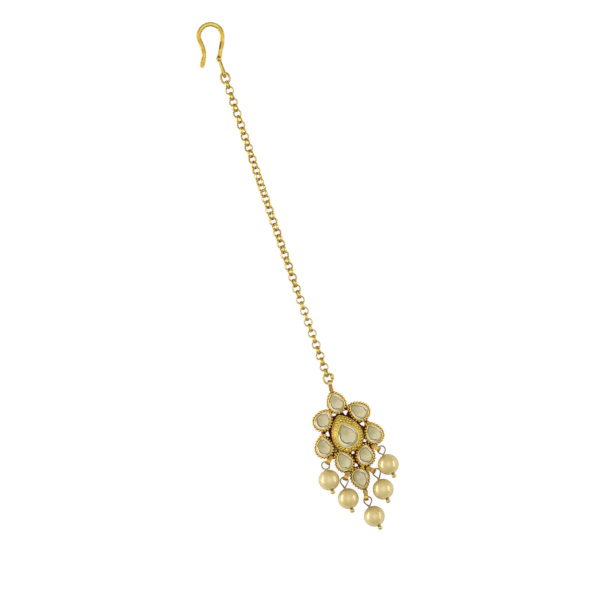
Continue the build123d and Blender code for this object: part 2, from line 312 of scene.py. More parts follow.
def foil_glass():
    """Clear cut glass over old foil: khaki, paler to one side by painted shade, with green and warm
    clouds. The bevel is darkened by painted shade and carries a painted highlight towards two
    opposite sides, with a thin painted dark arc just inside it."""
    material, s = finish("foil_backed_glass")
    facet = s.attribute("facet", "Vector")
    across = s.add("ShaderNodeSeparateXYZ", {}, {0: facet})
    along = Value(s, across.socket.node.outputs["Y"])
    share = Value(s, across.socket.node.outputs["Z"])
    clouds = s.noise(0.5, 2.0, 0.5)
    # Painted shade: darker to one side of the stone and paler to the other.
    painted_side_shade = s.step(across * 0.6 - along * 0.6 + (clouds - 0.5) * 1.4, -0.7, 0.7)
    ground = s.mix(painted_side_shade, (0.37, 0.33, 0.13), (0.65, 0.56, 0.31))
    blush = s.step(s.noise(0.37, 1.0), 0.5, 0.7, 0.0, 0.5)
    ground = s.mix(blush, ground, (0.66, 0.52, 0.38))
    # Direction of the painted light on the bevel, with noise.
    turn = across * 0.74 + along * 0.67
    painted_light_lobe = turn.math("ABSOLUTE", turn) + (s.noise(0.9, 2.0) - 0.5) * 0.3
    bevel = s.step(share, 0.79, 0.84)
    # Painted shade darkens the bevel.
    ground = s.mix(bevel * 0.55, ground, (0.33, 0.28, 0.12))
    # Painted highlight on the bevel towards two opposite sides.
    colour = s.mix(s.step(painted_light_lobe, 0.48, 0.76) * bevel, ground, (0.98, 0.95, 0.76))
    eye = (1 - s.step(share, 0.0, 0.32)) * s.step(s.noise(0.3, 1.0), 0.35, 0.6, 0.15, 0.5)
    colour = s.mix(eye, colour, (0.36, 0.29, 0.17))
    # Painted dark arc just inside the bevel, on the same two sides.
    crease = s.step(share, 0.66, 0.73) * (1 - s.step(share, 0.77, 0.81))
    crease = crease * s.step(painted_light_lobe, 0.3, 0.5) * s.step(s.noise(0.45, 1.0), 0.3, 0.5, 0.4, 1.0)
    colour = s.mix(crease, colour, (0.08, 0.075, 0.04))
    s.surface({
        "Base Color": colour,
        "Metallic": 0.3 - bevel * 0.25,
        "Roughness": 0.2 - bevel * 0.06,
        "Coat Weight": 0.5,
        "Coat Roughness": 0.05,
        "Normal": s.bump(s.noise(0.8, 2.0), 0.05, 0.35),
    })
    return material


def pearl_lustre():
    """Nacre: champagne body, golden towards the upper drilled end, painted shade that darkens its
    rim, and a soft satin coat.
    """
    material, s = finish("pearl_lustre")
    hole = s.attribute("from_top")
    cloud = s.noise(0.28, 2.0, 0.5)
    body = s.mix(s.step(cloud, 0.3, 0.7), (0.74, 0.56, 0.165), (0.80, 0.63, 0.235))
    crown = s.step(hole + (cloud - 0.5) * 0.25, 0.45, 1.0)
    body = s.mix(crown * 0.75, body, (0.58, 0.36, 0.07))
    # Painted shade: the colour darkens towards the rim, where the surface turns from the view.
    edge = s.add("ShaderNodeLayerWeight", {}, {"Blend": 0.4}, "Facing")
    rim = s.step(edge, 0.45, 0.98)
    body_with_rim_shade = s.mix(rim * 0.9, body, (0.38, 0.25, 0.045))
    s.surface({
        "Base Color": body_with_rim_shade,
        "Metallic": 0.12,
        "Roughness": 0.36 + (cloud - 0.5) * 0.1,
        "Coat Weight": 0.95 - rim * 0.55,
        "Coat Roughness": 0.27,
        "Coat IOR": 2.0,
        "Normal": s.bump(s.noise(1.4, 2.0), 0.03, 0.25),
    })
    return material


def drawn_wire():
    """Thin brown-gold wire of the drops, with draw marks."""
    material, s = finish("drawn_wire")
    drift = s.noise(1.1, 3.0)
    colour = s.mix(s.step(drift, 0.35, 0.7), (0.39, 0.28, 0.12), (0.23, 0.15, 0.06))
    tail = s.attribute("tail")
    colour = s.mix(tail, colour, (0.74, 0.60, 0.20))
    s.surface({
        "Base Color": colour,
        "Metallic": 1.0,
        "Roughness": 0.30 + (s.noise(8.0, 3.0) - 0.5) * 0.2,
        "Normal": s.bump(s.noise(6.0, 3.0), 0.02, 0.4),
    })
    return material


# ---------------------------------------------------------------- mesh helpers
def piece(name, bm, material, stands_for, crease=40.0):
    """Finishes a mesh in millimetres as a piece of the object."""
    bmesh.ops.scale(bm, vec=(MM, MM, MM), verts=bm.verts)
    mesh = bpy.data.meshes.new(name)
    bm.to_mesh(mesh)
    bm.free()
    mesh.polygons.foreach_set("use_smooth", [True] * len(mesh.polygons))
    mesh.set_sharp_from_angle(angle=radians(crease))
    mesh.materials.append(material)
    obj = bpy.data.objects.new(name, mesh)
    bpy.context.scene.collection.objects.link(obj)
    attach(obj, "root")
    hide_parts(*stands_for)
    return obj


def close(bm):
    """Joins seams and turns every closed shell's faces outwards."""
    bmesh.ops.remove_doubles(bm, verts=bm.verts, dist=SHELL_SEAM)
    bmesh.ops.recalc_face_normals(bm, faces=bm.faces)


def merged(node):
    """A copy of a CAD node's mesh in millimetres, its loose triangles joined."""
    bm = bmesh.new()
    bm.from_mesh(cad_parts[node].data)
    bmesh.ops.scale(bm, vec=(1 / MM, 1 / MM, 1 / MM), verts=bm.verts)
    bmesh.ops.remove_doubles(bm, verts=bm.verts, dist=CAD_SEAM)
    return bm


def verts_of(geometry):
    """The vertices among what an operator gives back."""
    return [item for item in geometry if isinstance(item, bmesh.types.BMVert)]


def edges_of(geometry):
    """The edges among what an operator gives back."""
    return [item for item in geometry if isinstance(item, bmesh.types.BMEdge)]


def pear_arcs(size, grow=0.0):
    """Arcs of a pear outline from its lowest point, anticlockwise: centre, radius, headings."""
    round_r, tip_r, side_r, reach = size
    to_round = side_r - round_r
    to_tip = side_r - tip_r
    side_y = (to_round**2 - to_tip**2 + reach**2) / (2 * reach)
    side_x = sqrt(to_round**2 - side_y**2)
    low = degrees(atan2(-side_y, side_x))
    high = degrees(atan2(reach - side_y, side_x))
    return [
        ((0, 0), round_r + grow, -90, low),
        ((-side_x, side_y), side_r + grow, low, high),
        ((0, reach), tip_r + grow, high, 180 - high),
        ((side_x, side_y), side_r + grow, 180 - high, 180 - low),
        ((0, 0), round_r + grow, 180 - low, 270),
    ]


def walk(size, grow, count, phase=0.0):
    """Even places along a grown pear outline, each with its direction outwards."""
    arcs = pear_arcs(size, grow)
    lengths = [radius * radians(end - start) for _, radius, start, end in arcs]
    for i in range(count):
        left = sum(lengths) * ((i + phase) % count) / count
        for (centre, radius, start, _), length in zip(arcs, lengths):
            if left <= length:
                break
            left -= length
        angle = radians(start) + left / radius
        way = Vector((cos(angle), sin(angle), 0))
        yield Vector((*centre, 0)) + way * radius, way


def round_pear(bm, size, geometry):
    """Carries geometry that stands at the outline's lowest point once round the outline."""
    for ((x, y), _, start, end), steps in zip(pear_arcs(size), ARC_STEPS):
        turn = bmesh.ops.spin(bm, geom=geometry, cent=(x, y, 0), axis=UP, steps=steps,
                              angle=radians(end - start), use_duplicate=False)
        geometry = turn["geom_last"]


def profile_ring(size, profile):
    """Sweeps a closed profile of (outwards, up) points round a pear."""
    bm = bmesh.new()
    points = [bm.verts.new((0, -size[0] - out, z)) for out, z in profile]
    edges = [bm.edges.new(pair) for pair in zip(points, points[1:] + points[:1])]
    round_pear(bm, size, points + edges)
    bmesh.ops.remove_doubles(bm, verts=bm.verts, dist=SWEEP_SEAM)
    return bm


def outline(size, grow, z):
    """A pear-shaped loop of edges at one height."""
    bm = bmesh.new()
    start = bm.verts.new((0, -size[0] - grow, z))
    round_pear(bm, size, [start])
    bmesh.ops.remove_doubles(bm, verts=bm.verts, dist=SWEEP_SEAM)
    return bm


def join(bm, part):
    """Adds a part's mesh to another, and gives back the part's place among its edges."""
    mesh = bpy.data.meshes.new("part")
    part.to_mesh(mesh)
    part.free()
    first = len(bm.edges)
    bm.from_mesh(mesh)
    bpy.data.meshes.remove(mesh)
    bm.edges.ensure_lookup_table()
    return bm.edges[first:]


def raise_face(bm, face, shift, grow=1.0, about=(0, 0, 0)):
    """Extrudes one face, moves it up and scales it in plan. Returns the new face."""
    geometry = bmesh.ops.extrude_face_region(bm, geom=[face])["geom"]
    new = verts_of(geometry)
    bmesh.ops.translate(bm, vec=(0, 0, shift), verts=new)
    to_middle = Matrix.Translation([-value for value in about])
    bmesh.ops.scale(bm, vec=(grow, grow, 1), space=to_middle, verts=new)
    return next(item for item in geometry if isinstance(item, bmesh.types.BMFace))


def settle(bm, place):
    """Turns and moves a mesh from a setting's own axes to where the setting is."""
    x, y, lean = place
    matrix = Matrix.Translation((x, y, 0)) @ Matrix.Rotation(radians(-lean), 4, "Z")
    bmesh.ops.transform(bm, matrix=matrix, verts=bm.verts)


def bead(bm, centre, radius, squash=(1, 1, 1), finer=2, turn=0.0):
    """A small ball, or a squashed one."""
    matrix = (Matrix.Translation(centre) @ Matrix.Rotation(turn, 4, "Z")
              @ Matrix.Diagonal((*squash, 1)))
    return bmesh.ops.create_icosphere(bm, subdivisions=finer, radius=radius, matrix=matrix)["verts"]


def setting_place(node, size, lean):
    """Centre of the round end of a stone's setting, from where its CAD stone lies."""
    low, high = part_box(node)
    turn = Matrix.Rotation(radians(-lean), 3, "Z")
    points = [turn @ point for point, _ in walk(size, 0.0, 240)]
    spread = [(min(p[i] for p in points) + max(p[i] for p in points)) / 2 for i in (0, 1)]
    middle = (low + high) / (2 * MM)
    return middle.x - spread[0], middle.y - spread[1], lean


places = {name: setting_place(f"stone_{name}", PETAL_PEAR, lean)
          for name, lean in STONE_LEANS.items()}
centre_place = setting_place("stone_centre", CENTRE_PEAR, CENTRE_LEAN)
order = list(STONE_LEANS)
flower = [Vector(places[name][:2]) for name in order]


def inside_flower(x, y):
    """How far a point lies inside the polygon through the petals' centres, or -how far out."""
    point = Vector((x, y))
    nearest = 1e9
    odd = False
    for a, b in zip(flower, flower[1:] + flower[:1]):
        along = max(0.0, min(1.0, (point - a).dot(b - a) / (b - a).length_squared))
        nearest = min(nearest, (point - a - (b - a) * along).length)
        if (a.y > y) != (b.y > y) and x < (b.x - a.x) * (y - a.y) / (b.y - a.y) + a.x:
            odd = not odd
    return nearest if odd else -nearest


def soft_step(value, low, high):
    """0 below low, 1 above high, and smooth between them."""
    share = max(0.0, min(1.0, (value - low) / (high - low)))
    return share * share * (3 - 2 * share)


def mark_recess(bm, top=1.45, bottom=0.8, outer=0.35):
    """Writes how deep each vertex lies in the dark ground between the petals and the collar, a dark
    mark that is partly patina and partly painted shade.
    """
    layer = bm.verts.layers.float.new("recess")
    for vert in bm.verts:
        x, y, z = vert.co
        deep = 1 - soft_step(z, bottom, top)
        within = soft_step(inside_flower(x, y), -0.4, 0.9)
        vert[layer] = deep * (outer + (1 - outer) * within)


def mark_shaded_sides(bm, sides):
    """Writes painted shade on the sides and undersides, and leaves the tops lighter."""
    layer = bm.verts.layers.float.get("recess") or bm.verts.layers.float.new("recess")
    bm.normal_update()
    for vert in bm.verts:
        vert[layer] = max(vert[layer], sides * (1 - soft_step(vert.normal.z, 0.05, 0.75)))


# ---------------------------------------------------------------- pendant: sheet and petals
FRAME_NODE = ["pendant_frame"]
setting_gold = gold("setting_gold", (0.90, 0.70, 0.22), (0.82, 0.55, 0.11), painted_ao_shade=0.5)
collar_gold = gold("collar_gold", (0.90, 0.72, 0.20), (0.82, 0.60, 0.12), rough=0.42, painted_ao_shade=0.5,
                   patina_and_shade_colour=(0.16, 0.09, 0.01))
solder_gold = gold("solder_gold", (0.84, 0.56, 0.12), (0.62, 0.30, 0.04), rough=0.32, painted_ao_shade=0.65,
                   patina_and_shade_colour=(0.10, 0.016, 0.004))
chain_gold = gold("chain_gold", (0.83, 0.64, 0.19), (0.75, 0.52, 0.12), painted_ao_shade=0.6,
                  patina_and_shade_colour=(0.24, 0.14, 0.03))
hook_gold = gold("hook_gold", (0.66, 0.53, 0.12), (0.59, 0.36, 0.04), rough=0.3, painted_ao_shade=0.5,
                 patina_and_shade_colour=(0.22, 0.11, 0.015), scratch=0.7)


def pierced_sheet():
    """Sheet between the petals, cut through with soft triangles."""
    bm = bmesh.new()
    middle = sum(flower, Vector((0, 0))) / len(flower)
    rim = [bm.verts.new((*(p + (p - middle).normalized() * SHEET_EDGE), 0)) for p in flower]
    for pair in zip(rim, rim[1:] + rim[:1]):
        bm.edges.new(pair)
    for x, y, radius, turn in PIERCINGS:
        matrix = Matrix.Translation((x, y, 0)) @ Matrix.Rotation(radians(turn - 90), 4, "Z")
        corners = bmesh.ops.create_circle(bm, cap_ends=True, segments=3, radius=radius,
                                          matrix=matrix)["verts"]
        bmesh.ops.bevel(bm, geom=corners, offset=PIERCING_ROUND, offset_type="OFFSET",
                        segments=4, profile=0.5, affect="VERTICES", material=-1)
        bmesh.ops.delete(bm, geom=bm.faces[:], context="FACES_ONLY")
    bmesh.ops.triangle_fill(bm, use_beauty=True, edges=bm.edges, normal=UP)
    raised = bmesh.ops.extrude_face_region(bm, geom=bm.faces[:])["geom"]
    bmesh.ops.translate(bm, vec=(0, 0, SHEET_TOP), verts=verts_of(raised))
    bmesh.ops.recalc_face_normals(bm, faces=bm.faces)
    rims = [e for e in bm.edges if min(v.co.z for v in e.verts) > SHEET_TOP / 2
            and len(e.link_faces) == 2 and e.calc_face_angle(0) > SHARP]
    bmesh.ops.bevel(bm, geom=rims, offset=SHEET_ROUND, offset_type="OFFSET", segments=2,
                    profile=0.5, affect="EDGES", material=-1)
    close(bm)
    mark_recess(bm, 1.2, 0.7)
    return piece("pendant_sheet", bm, setting_gold, FRAME_NODE)


def petal_cups():
    """Base and bezel of every petal: a flat foot with a rounded edge, and a burnished wall."""
    bm = bmesh.new()
    wall = [(0.05, 0.8), (0.05, 2.08), (0.0, 2.2), (0.03, 2.27), (0.11, RIM_TOP), (0.21, 2.27),
            (0.29, 2.16), (0.31, 1.95), (0.3, 1.5), (0.34, 1.1), (0.42, 0.8)]
    for place in places.values():
        foot = outline(PETAL_PEAR, PETAL_FOOT, 0.0)
        face = bmesh.ops.contextual_create(foot, geom=foot.edges[:])["faces"][0]
        face = raise_face(foot, face, PLATE_TOP - 0.12)
        face = raise_face(foot, face, 0.08, 0.988, (0, 0.8, 0))
        raise_face(foot, face, 0.04, 0.965, (0, 0.8, 0))
        for part in (profile_ring(PETAL_PEAR, wall), foot):
            settle(part, place)
            join(bm, part)
    for vert in bm.verts:
        wobble = noise.noise(vert.co * 0.9) * 0.03
        if vert.co.z > 1.2:
            vert.co.z += wobble
    close(bm)
    mark_recess(bm, 1.5, 0.8)
    return piece("petal_cups", bm, setting_gold, FRAME_NODE)


def petal_grains():
    """Row of grains soldered round the foot of every petal's wall."""
    bm = bmesh.new()
    for place in places.values():
        row = bmesh.new()
        for point, _ in walk(PETAL_PEAR, GRAIN_LINE, GRAINS, 0.5):
            size = GRAIN_R * random.uniform(0.92, 1.05)
            point.z = GRAIN_Z + random.uniform(-0.03, 0.03)
            bead(row, point, size, (1, 1, random.uniform(0.95, 1.1)))
        settle(row, place)
        join(bm, row)
    mark_recess(bm, 1.25, 0.6)
    return piece("petal_grains", bm, setting_gold, FRAME_NODE, 80.0)


# ---------------------------------------------------------------- pendant: collar
def collar_size(share):
    """Pear outline and height of the collar's band, from its outer edge (0) to its rim (1)."""
    rim = (CENTRE_PEAR[0] + COLLAR_RIM, CENTRE_PEAR[1] + COLLAR_RIM,
           CENTRE_PEAR[2] + COLLAR_RIM, CENTRE_PEAR[3])
    size = tuple(a + (b - a) * share for a, b in zip(COLLAR_PEAR, rim))
    height = COLLAR_EDGE_Z + (COLLAR_RIM_Z - COLLAR_EDGE_Z) * (1 - (1 - share) ** 1.25)
    return size, height


def collar():
    """Raised collar round the centre stone, its band sloping up to a burnished rim."""
    bm = bmesh.new()
    levels = [(COLLAR_PEAR, 0.0, 0.0), (COLLAR_PEAR, 0.0, 1.48)]
    for share in (0.03, 0.2, 0.4, 0.6, 0.8, 0.96):
        size, height = collar_size(share)
        levels.append((size, 0.0, height))
    for grow, height in ((0.3, 3.0), (0.16, 3.03), (0.04, 2.98), (0.03, 2.85), (0.03, 1.6)):
        levels.append((CENTRE_PEAR, grow, height))
    loops = [join(bm, outline(*level)) for level in levels]
    bm.edges.ensure_lookup_table()
    count = len(loops[0])
    loops = [bm.edges[i * count:(i + 1) * count] for i in range(len(levels))]
    for low, high in zip(loops, loops[1:]):
        bmesh.ops.bridge_loops(bm, edges=low + high)
    for end in (loops[0], loops[-1]):
        bmesh.ops.contextual_create(bm, geom=end)
    settle(bm, centre_place)
    close(bm)
    mark_recess(bm, 1.5, 1.0)
    # Patina with painted shade over the band, dark where it shows between the grains.
    layer = bm.verts.layers.float["recess"]
    for vert in bm.verts:
        if 1.55 < vert.co.z < 3.01:
            vert[layer] = COLLAR_PATINA_AND_SHADE
    return piece("centre_collar", bm, collar_gold, FRAME_NODE)


def collar_grains():
    """Fine grains on the collar's edge and rim, and two rows of plump ones between them."""
    bm = bmesh.new()
    rows = [
        # share across the band, distance between grains, radius, sunk by a share of it
        (0.0, 0.42, 0.22, 0.5),
        (0.3, 0.86, 0.4, 0.4),
        (0.64, 0.92, 0.4, 0.4),
        (0.95, 0.46, 0.24, 0.3),
    ]
    for share, spacing, radius, sunk in rows:
        size, height = collar_size(share)
        around = sum(r * radians(end - start) for _, r, start, end in pear_arcs(size))
        for point, _ in walk(size, 0.0, round(around / spacing), random.random()):
            point.z = height - sunk * radius + random.uniform(-0.06, 0.04)
            stray = 0.3 * radius * (share > 0)
            point += Vector((random.uniform(-1, 1), random.uniform(-1, 1), 0)) * stray
            bead(bm, point, radius * random.uniform(0.82, 1.08), (1, 1, 0.9))
    settle(bm, centre_place)
    mark_recess(bm, 1.45, 1.2, 0.2)
    return piece("collar_grains", bm, collar_gold, FRAME_NODE, 80.0)


# ---------------------------------------------------------------- pendant: tabs, beads and solder
def compass(turn):
    """Direction at an angle clockwise from +Y."""
    return Vector((sin(radians(turn)), cos(radians(turn)), 0))


def drilled_tabs(name, loops, material, root=0.7):
    """Rounded blocks on edge, drilled across, each on a short stem that is dark at its root with
    patina and painted shade, and with painted shade on their sides.
    """
    bm = bmesh.new()
    for loop in loops:
        x, y, turn, outer, hole, width, stem = LOOPS[loop]
        tab = bmesh.new()
        rim = bmesh.ops.create_circle(tab, cap_ends=False, segments=32, radius=outer)["verts"]
        bmesh.ops.create_circle(tab, cap_ends=False, segments=32, radius=hole)
        foot = sorted((v for v in rim if v.co.x < -0.72 * outer), key=lambda v: v.co.y)
        for i, vert in enumerate(foot):
            share = i / (len(foot) - 1)
            vert.co.x = -stem - 0.1
            vert.co.y = TAB_FOOT_Z[0] + (TAB_FOOT_Z[1] - TAB_FOOT_Z[0]) * share - AXIS_Z
        faces = bmesh.ops.bridge_loops(tab, edges=tab.edges[:])["faces"]
        raised = bmesh.ops.extrude_face_region(tab, geom=faces)["geom"]
        bmesh.ops.translate(tab, vec=(0, 0, width), verts=verts_of(raised))
        bmesh.ops.translate(tab, vec=(0, 0, -width / 2), verts=tab.verts)
        bmesh.ops.recalc_face_normals(tab, faces=tab.faces)
        sides = [e for e in tab.edges if e.calc_face_angle(0) > SHARP]
        bmesh.ops.bevel(tab, geom=sides, offset=TAB_ROUND, offset_type="OFFSET", segments=3,
                        profile=0.5, affect="EDGES", material=-1)
        way = compass(turn)
        axes = Matrix((way, UP, way.cross(UP))).transposed().to_4x4()
        bmesh.ops.transform(tab, matrix=Matrix.Translation((x, y, AXIS_Z)) @ axes,
                            verts=tab.verts)
        join(bm, tab)
    for vert in bm.verts:
        vert.co += noise.noise_vector(vert.co * 1.1) * 0.05
    close(bm)
    mark_recess(bm, 1.1, 0.5, 0.3)
    # Painted shade on the tabs' sides and undersides.
    mark_shaded_sides(bm, TAB_SIDE_SHADE)
    # Patina with painted shade that darkens each stem towards its root.
    layer = bm.verts.layers.float["recess"]
    for vert in bm.verts:
        x, y, _, outer, _, _, stem = min((LOOPS[loop] for loop in loops), key=lambda loop:
                                         (vert.co.x - loop[0]) ** 2 + (vert.co.y - loop[1]) ** 2)
        away = (vert.co.xy - Vector((x, y))).length
        vert[layer] = max(vert[layer], root * soft_step(away, outer + 0.1, stem + 0.2))
    return piece(name, bm, material, FRAME_NODE)


def frame_beads():
    """Larger beads under the bail and above the bottom tab, and the solder between petals and
    round the tabs' roots, darkened round the roots by patina and painted shade."""
    bm = bmesh.new()
    x, y, turn, *_ = LOOPS["bail"]
    bead(bm, Vector((x, y, AXIS_Z)) - compass(turn) * 1.85, 0.66, (1.0, 0.9, 1.0), 3)
    x, y, turn, *_ = LOOPS["bottom"]
    bead(bm, Vector((x, y, AXIS_Z)) - compass(turn) * 1.6, 0.78, (0.95, 0.85, 0.95), 3)
    names = order + order[:1]
    for a, b in zip(names, names[1:]):
        first, second = Vector(places[a][:2]), Vector(places[b][:2])
        middle = (first + second) / 2
        outward = middle.normalized()
        turn = atan2(second.y - first.y, second.x - first.x)
        for shift, radius in ((0.3, 0.62), (-0.5, 0.5)):
            spot = middle + outward * shift
            bead(bm, (spot.x, spot.y, 1.1), radius, (1.15, 0.8, 0.75), 3, turn)
    roots = []
    for loop in ("left", "lower_left", "lower_right", "right"):
        x, y, turn, _, _, _, stem = LOOPS[loop]
        root = Vector((x, y, 0.62)) - compass(turn) * (stem - 0.1)
        bead(bm, root, 0.95, (0.75, 1.25, 0.6), 3, radians(90 - turn))
        roots.append(root)
    for vert in bm.verts:
        vert.co += noise.noise_vector(vert.co * 1.6) * 0.07
    mark_recess(bm, 1.2, 0.7)
    # Patina with painted shade round the tabs' roots.
    layer = bm.verts.layers.float["recess"]
    for vert in bm.verts:
        away = min((vert.co - root).length for root in roots)
        vert[layer] = max(vert[layer], ROOT_PATINA_AND_SHADE * (1 - soft_step(away, 1.1, 1.3)))
    return piece("frame_beads", bm, solder_gold, FRAME_NODE, 80.0)


# ---------------------------------------------------------------- stones
def cut_stone(name, size, place, seat, girdle, table):
    """Flat stone with a broad table and a burnished bevel, marked from its middle outwards."""
    belly = (0, 0.3 * size[3], 0)
    levels = [
        # share of the outline, height
        (1.0, seat + 0.05),
        (1.0, girdle - 0.06),
        (0.985, girdle),
        (0.93, girdle + 0.34 * (table - girdle)),
        (0.87, girdle + 0.72 * (table - girdle)),
        (0.83, girdle + 0.94 * (table - girdle)),
        (0.805, table - 0.01),
        (0.77, table),
        (0.6, table + 0.012),
        (0.4, table + 0.022),
        (0.2, table + 0.028),
    ]
    bm = outline(size, 0.0, levels[0][1])
    layer = bm.verts.layers.float_vector.new("facet")
    face = bmesh.ops.contextual_create(bm, geom=bm.edges[:])["faces"][0]
    turn = Matrix.Rotation(radians(-place[2]), 3, "Z")

    def mark(verts, share):
        for vert in verts:
            way = turn @ Vector((vert.co.x - belly[0], vert.co.y - belly[1], 0)).normalized()
            vert[layer] = (way.x * share, way.y * share, share)

    mark(face.verts, 1.0)
    for (share, height), (next_share, next_height) in zip(levels, levels[1:]):
        face = raise_face(bm, face, next_height - height, next_share / share, belly)
        mark(face.verts, next_share)
    middle = bmesh.ops.poke(bm, faces=[face])["verts"][0]
    middle[layer] = (0, 0, 0)
    settle(bm, place)
    bmesh.ops.recalc_face_normals(bm, faces=bm.faces)
    return piece(f"glass_{name}", bm, glass, [f"stone_{name}"], 50.0)


# ---------------------------------------------------------------- drops
def drop_axes(number):
    """Centre of a pearl, and the level direction from it towards its tab."""
    low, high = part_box(f"pearl_{number}")
    middle = (low + high) / (2 * MM)
    top = Vector(LOOPS[DROP_LOOPS[number - 1]][:2])
    return middle, Vector((top.x - middle.x, top.y - middle.y, 0)).normalized()


def pearl(number):
    """Drilled pearl, marked towards its upper drilled end."""
    node = f"pearl_{number}"
    bm = merged(node)
    middle, way = drop_axes(number)
    layer = bm.verts.layers.float.new("from_top")
    for vert in bm.verts:
        from_middle = (vert.co - middle).normalized()
        vert[layer] = from_middle.dot(way)
    return piece(f"drop_{node}", bm, nacre, [node], 60.0)


def drop_pin(number):
    """Pin with its loop, marked gold at its plump end bead and at the knot above the pearl."""
    node = f"drop_pin_{number}"
    bm = merged(node)
    middle, way = drop_axes(number)
    pin = max((vert.co - middle for vert in bm.verts), key=lambda out: -out.dot(way)).normalized()
    layer = bm.verts.layers.float.new("tail")
    for vert in bm.verts:
        out = vert.co - middle
        aside = out - pin * out.dot(pin)
        if out.length > PEARL_EDGE and out.dot(way) < 0:
            vert[layer] = 1.0
            vert.co += aside * END_BEAD_SWELL
        elif out.length < KNOT_REACH:
            vert[layer] = 0.35
            vert.co += aside * KNOT_SWELL * (out.length > PEARL_EDGE)
    return piece(f"wire_{node}", bm, wire, [node], 45.0)


# ---------------------------------------------------------------- chain and rings
ring_places = [sum(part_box(node), Vector()) / 2 for node in ("jump_ring_top", "jump_ring_bottom")]
chain_way = (ring_places[1] - ring_places[0]).normalized()


def chain_links():
    """The chain's links, softly finished, with painted shade on their sides, undersides and
    inside each link.
    """
    bm = merged("chain")
    bm.normal_update()
    for vert in bm.verts:
        vert.co += vert.normal * LINK_SWELL
    # Painted shade on the links' sides, undersides and inner walls.
    mark_shaded_sides(bm, LINK_SIDE_SHADE)
    return piece("chain_links", bm, chain_gold, ["chain"], 60.0)


def wire_end(bm, point, way, normal, radius, sides=20, corner=2.6):
    """A loop of edges across a wire, between round and square. Returns its geometry."""
    loop = bmesh.ops.create_circle(bm, cap_ends=False, segments=sides, radius=radius)["verts"]
    for vert in loop:
        a, b = abs(vert.co.x) / radius, abs(vert.co.y) / radius
        vert.co *= 1.03 / (a**corner + b**corner) ** (1 / corner)
    axes = Matrix((normal.cross(way), normal, way)).transposed().to_4x4()
    bmesh.ops.transform(bm, matrix=Matrix.Translation(point) @ axes, verts=loop)
    return loop + list({e for v in loop for e in v.link_edges})


def draw_on(bm, geometry, shift, steps, widen=None):
    """Pulls a wire's end loop straight on. widen gives each new loop's scale."""
    for step in range(1, steps + 1):
        grown = bmesh.ops.extrude_edge_only(bm, edges=edges_of(geometry))["geom"]
        verts = verts_of(grown)
        bmesh.ops.translate(bm, vec=shift / steps, verts=verts)
        if widen:
            middle = sum((v.co for v in verts), Vector()) / len(verts)
            grow = widen(step / steps) / widen((step - 1) / steps)
            bmesh.ops.scale(bm, vec=(grow, grow, 1), verts=verts,
                            space=Matrix.Translation(-middle))
        chosen = set(verts)
        geometry = verts + [e for e in edges_of(grown) if set(e.verts) <= chosen]
    return geometry


def bend_on(bm, geometry, point, way, normal, end, spacing=0.35):
    """Bends a wire's end loop round the arc that leaves point along way and meets end."""
    left = normal.cross(way)
    chord = end - point
    radius = chord.length_squared / (2 * chord.dot(left))
    angle = 2 * atan2(chord.dot(left), chord.dot(way))
    steps = max(4, round(abs(angle * radius) / spacing))
    turned = bmesh.ops.spin(bm, geom=geometry, cent=point + left * radius, axis=normal,
                            angle=angle, steps=steps, use_duplicate=False)
    return turned["geom_last"], Matrix.Rotation(angle, 3, normal) @ way


def ring(name, node, lump=None):
    """Long ring of round wire, with its joint swollen by solder where a lump is given."""
    bm = bmesh.new()
    low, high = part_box(node)
    middle = (low + high) / (2 * MM)
    side = UP.cross(chain_way)
    wire_r = (high.z - low.z) / (2 * MM) * RING_STOUT
    point = middle - chain_way * RING_PULL / 2 - side * RING_R
    geometry = wire_end(bm, point, chain_way, UP, wire_r, 16, 2.0)
    for way in (chain_way, -chain_way):
        geometry = draw_on(bm, geometry, way * RING_PULL, 3)
        point += way * RING_PULL
        after = point + UP.cross(way) * 2 * RING_R
        geometry, _ = bend_on(bm, geometry, point, way, UP, after, 0.13)
        point = after
    if lump is not None:
        for vert in bm.verts:
            out = Vector((vert.co.x - middle.x, vert.co.y - middle.y, 0))
            near = soft_step(out.normalized().dot(compass(lump)), 0.80, 0.97)
            core = middle + out.normalized() * RING_R
            vert.co = core + (vert.co - core) * (1 + 0.75 * near) + out.normalized() * 0.1 * near
    close(bm)
    # Painted shade on the ring's sides and undersides.
    mark_shaded_sides(bm, RING_SIDE_SHADE)
    return piece(name, bm, hook_gold, [node], 60.0)


# ---------------------------------------------------------------- hook
def hook_at(x, y):
    """A place in the hook's own plane, from its kink, and the plane's normal."""
    normal = Vector((0, sin(radians(HOOK_DROP)), cos(radians(HOOK_DROP))))
    level = Vector((1, 0, 0))
    return HOOK_KINK + level * x + normal.cross(level) * y, normal


def forged_bend(bm):
    """Flattened tip, wide bend and shank of heavy wire, down to the kink."""

    def tip_width(share):
        return 0.95 + 0.2 * soft_step(share, 0.0, 0.6) - 0.15 * soft_step(share, 0.55, 1.0)

    def lip_width(share):
        return 0.84 + 0.11 * share

    point, normal = hook_at(*HOOK_TIP[0])
    after, _ = hook_at(*HOOK_TIP[1])
    way = (after - point).normalized()
    geometry = wire_end(bm, point - way * TIP_START, way, normal,
                        HOOK_WIRE_R * lip_width(0), 20, 3.0)
    bmesh.ops.contextual_create(bm, geom=edges_of(geometry))
    geometry = draw_on(bm, geometry, way * TIP_LIP, 1, lip_width)
    geometry = draw_on(bm, geometry, after - point + way * TIP_RUN_ON, 9, tip_width)
    for arc_end in HOOK_ARCS:
        point = after
        after, _ = hook_at(*arc_end)
        geometry, way = bend_on(bm, geometry, point, way, normal, after)
    geometry = draw_on(bm, geometry, way * HOOK_SHANK, 14)
    bmesh.ops.contextual_create(bm, geom=edges_of(geometry))


